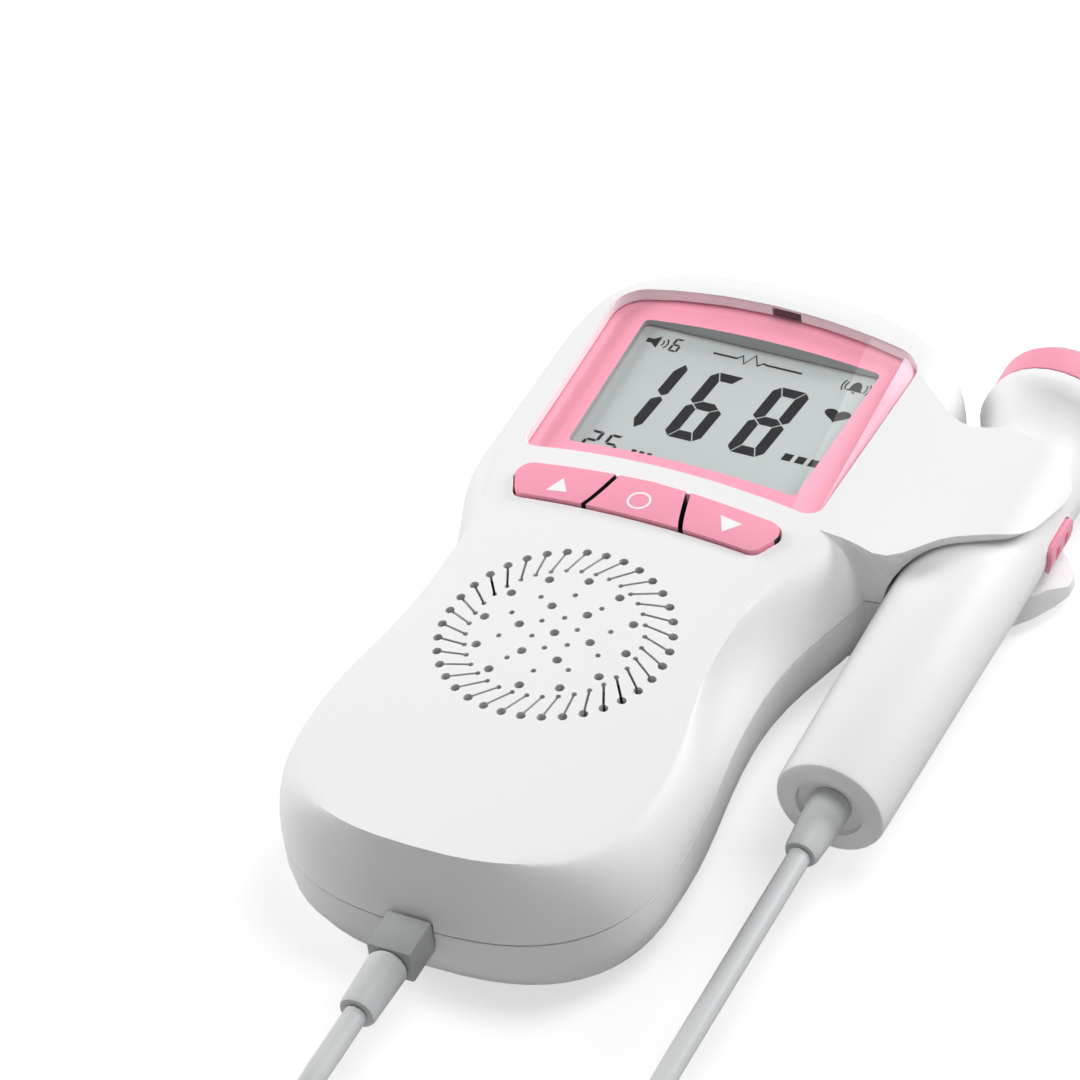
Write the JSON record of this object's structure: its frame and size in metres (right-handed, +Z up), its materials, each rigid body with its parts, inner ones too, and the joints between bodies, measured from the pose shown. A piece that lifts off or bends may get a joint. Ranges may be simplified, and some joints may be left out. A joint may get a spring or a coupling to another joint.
{
  "type": "fetal doppler monitor",
  "caption": "Hand-held fetal doppler monitor with crowned white body, drilled round sound grille, pink key band, display window, and a probe on a lead clipped in a side holder.",
  "frame": {"origin": "centre of the footprint of body and probe without the free lead, at the height of the table that the body's back lies on", "axes": "+X from the body to the probe's holder, +Y along the body from the sound grille to the display end, +Z up out of the face"},
  "size_m": [0.0917, 0.2217, 0.0287],
  "materials": {
    "shell_plastic": "fine satin moulded ABS, cool white",
    "pink_plastic": "satin moulded plastic, light pink",
    "clear_window": "clear gloss acrylic",
    "display_glass": "grey-green reflective display behind glass",
    "light_tray": "white light guide",
    "black_plastic": "black moulded plastic",
    "plug_plastic": "light grey over-moulded plastic",
    "lead_jacket": "soft light grey cable jacket",
    "relief_rubber": "soft light grey sleeve",
    "speaker_steel": "pressed steel basket",
    "speaker_paper": "dark treated paper cone",
    "speaker_cloth": "grey woven dust cloth",
    "magnet_steel": "dark coated magnet",
    "board_green": "green solder mask on glass fibre",
    "screw_steel": "zinc-plated steel",
    "contact_steel": "nickel-plated spring steel",
    "cell_can": "plain silver cell jacket",
    "dome_rubber": "dark silicone",
    "plug_gold": "gold-plated contact blade",
    "acoustic_plastic": "smooth light grey acoustic lens",
    "disc_ceramic": "plated ceramic disc",
    "block_rubber": "dark damping compound"
  },
  "bodies": {
    "body": {"back_shell": "shell_plastic", "battery_1": "cell_can", "battery_2": "cell_can", "battery_plate_1": "contact_steel", "battery_plate_2": "contact_steel", "battery_spring_1": "contact_steel", "battery_spring_2": "contact_steel", "board_chip_1": "black_plastic", "board_chip_2": "black_plastic", "board_chip_3": "black_plastic", "board_chip_4": "black_plastic", "board_chip_5": "black_plastic", "board_screw_1": "screw_steel", "board_screw_2": "screw_steel", "board_screw_3": "screw_steel", "board_screw_4": "screw_steel", "case_screw_1": "screw_steel", "case_screw_2": "screw_steel", "case_screw_3": "screw_steel", "case_screw_4": "screw_steel", "display_frame": "pink_plastic", "display_lens": "clear_window", "down_dome": "dome_rubber", "front_shell": "shell_plastic", "lcd_glass": "display_glass", "lcd_light_tray": "light_tray", "lead_coil": "lead_jacket", "lead_probe_run": "lead_jacket", "lead_socket": "black_plastic", "lead_unit_run": "lead_jacket", "main_board": "board_green", "ok_dome": "dome_rubber", "speaker_cloth": "speaker_cloth", "speaker_cone": "speaker_paper", "speaker_frame": "speaker_steel", "speaker_magnet": "magnet_steel", "up_dome": "dome_rubber", "window_slot_insert": "black_plastic"},
    "up_key": {"up_key": "pink_plastic"},
    "ok_key": {"ok_key": "pink_plastic"},
    "down_key": {"down_key": "pink_plastic"},
    "battery_door": {"battery_door": "shell_plastic"},
    "probe": {"probe_handle": "shell_plastic", "probe_band": "pink_plastic", "probe_face": "acoustic_plastic", "probe_pad": "pink_plastic", "transducer_disc": "disc_ceramic", "damping_block": "block_rubber", "probe_board": "board_green", "probe_relief": "relief_rubber"},
    "plug": {"plug_body": "plug_plastic", "plug_tongue": "plug_gold", "plug_relief": "relief_rubber"}
  },
  "joints": [
    {"name": "up_key_press", "type": "slide", "parent": "body", "child": "up_key", "axis": [0, 0, -1], "range_m": [0, 0.0006], "stiffness_N_per_m": 300, "springref_m": -0.0005, "deforming": ["up_dome"]},
    {"name": "ok_key_press", "type": "slide", "parent": "body", "child": "ok_key", "axis": [0, 0, -1], "range_m": [0, 0.0006], "stiffness_N_per_m": 300, "springref_m": -0.0005, "deforming": ["ok_dome"]},
    {"name": "down_key_press", "type": "slide", "parent": "body", "child": "down_key", "axis": [0, 0, -1], "range_m": [0, 0.0006], "stiffness_N_per_m": 300, "springref_m": -0.0005, "deforming": ["down_dome"]},
    {"name": "battery_door_hinge", "type": "hinge", "parent": "body", "child": "battery_door", "pos_m": [-0.01218, 0.00005, 0.0011], "axis": [1, 0, 0], "range_deg": [0, 60]},
    {"name": "probe_slide", "type": "slide", "parent": "body", "child": "probe", "axis": [0, 1, 0], "range_m": [0, 0.078], "deforming": ["lead_probe_run"]},
    {"name": "plug_slide", "type": "slide", "parent": "body", "child": "plug", "axis": [0, -1, 0], "range_m": [0, 0.01], "deforming": ["lead_unit_run"]}
  ]
}
